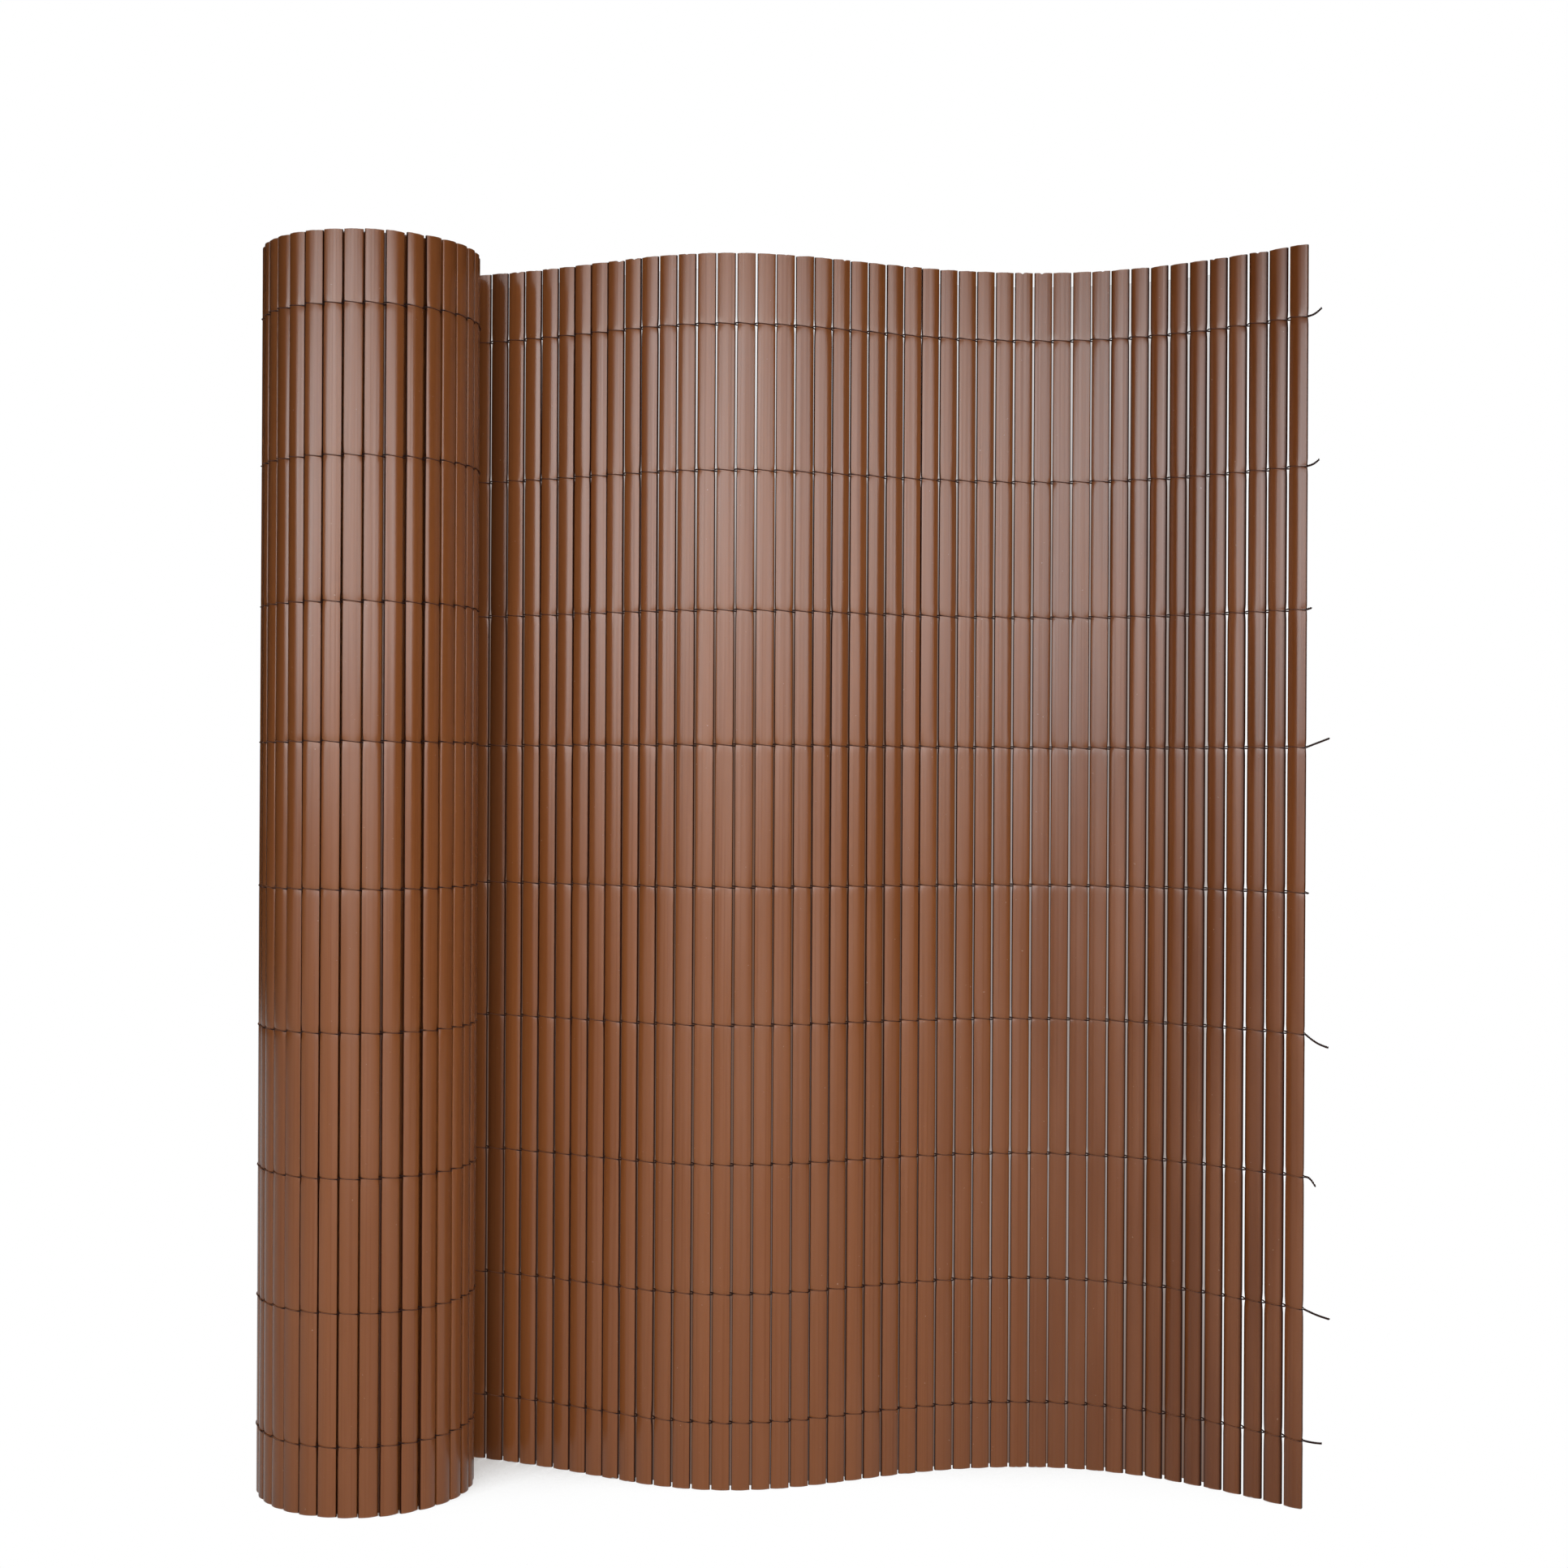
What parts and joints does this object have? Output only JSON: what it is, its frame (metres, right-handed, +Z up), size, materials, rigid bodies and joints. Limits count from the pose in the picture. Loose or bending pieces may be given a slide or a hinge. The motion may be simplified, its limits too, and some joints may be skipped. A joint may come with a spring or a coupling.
{
  "type": "pvc privacy screen mat",
  "caption": "Slatted plastic privacy screen mat standing on edge, part rolled up and part unrolled in a gentle wave, its hollow slats bound by rows of wire.",
  "frame": {"origin": "on the ground, in the middle of the mat's outline seen from above", "axes": "+X along the unrolled panel from the roll to the free end, +Y away from the viewer, +Z up along the slats"},
  "size_m": [0.7731, 0.1654, 0.9],
  "materials": {
    "slat_plastic": "satin",
    "binding_wire": "satin"
  },
  "bodies": {
    "root": {"slat_01": "slat_plastic", "slat_02": "slat_plastic", "slat_03": "slat_plastic", "slat_04": "slat_plastic", "slat_05": "slat_plastic", "slat_06": "slat_plastic", "slat_07": "slat_plastic", "slat_08": "slat_plastic", "slat_09": "slat_plastic", "slat_10": "slat_plastic", "slat_11": "slat_plastic", "slat_12": "slat_plastic", "slat_13": "slat_plastic", "slat_14": "slat_plastic", "slat_15": "slat_plastic", "slat_16": "slat_plastic", "slat_17": "slat_plastic", "slat_18": "slat_plastic", "slat_19": "slat_plastic", "slat_20": "slat_plastic", "slat_21": "slat_plastic", "slat_22": "slat_plastic", "slat_23": "slat_plastic", "slat_24": "slat_plastic", "slat_25": "slat_plastic", "slat_26": "slat_plastic", "slat_27": "slat_plastic", "slat_28": "slat_plastic", "slat_29": "slat_plastic", "slat_30": "slat_plastic", "slat_31": "slat_plastic", "slat_32": "slat_plastic", "slat_33": "slat_plastic", "slat_34": "slat_plastic", "slat_35": "slat_plastic", "slat_36": "slat_plastic", "slat_37": "slat_plastic", "slat_38": "slat_plastic", "slat_39": "slat_plastic", "slat_40": "slat_plastic", "slat_41": "slat_plastic", "slat_42": "slat_plastic", "slat_43": "slat_plastic", "slat_44": "slat_plastic", "slat_45": "slat_plastic", "slat_46": "slat_plastic", "slat_47": "slat_plastic", "slat_48": "slat_plastic", "rolled_turns": "slat_plastic", "binding_wire_1": "binding_wire", "binding_wire_2": "binding_wire", "binding_wire_3": "binding_wire", "binding_wire_4": "binding_wire", "binding_wire_5": "binding_wire", "binding_wire_6": "binding_wire", "binding_wire_7": "binding_wire", "binding_wire_8": "binding_wire", "binding_wire_9": "binding_wire"}
  },
  "joints": []
}
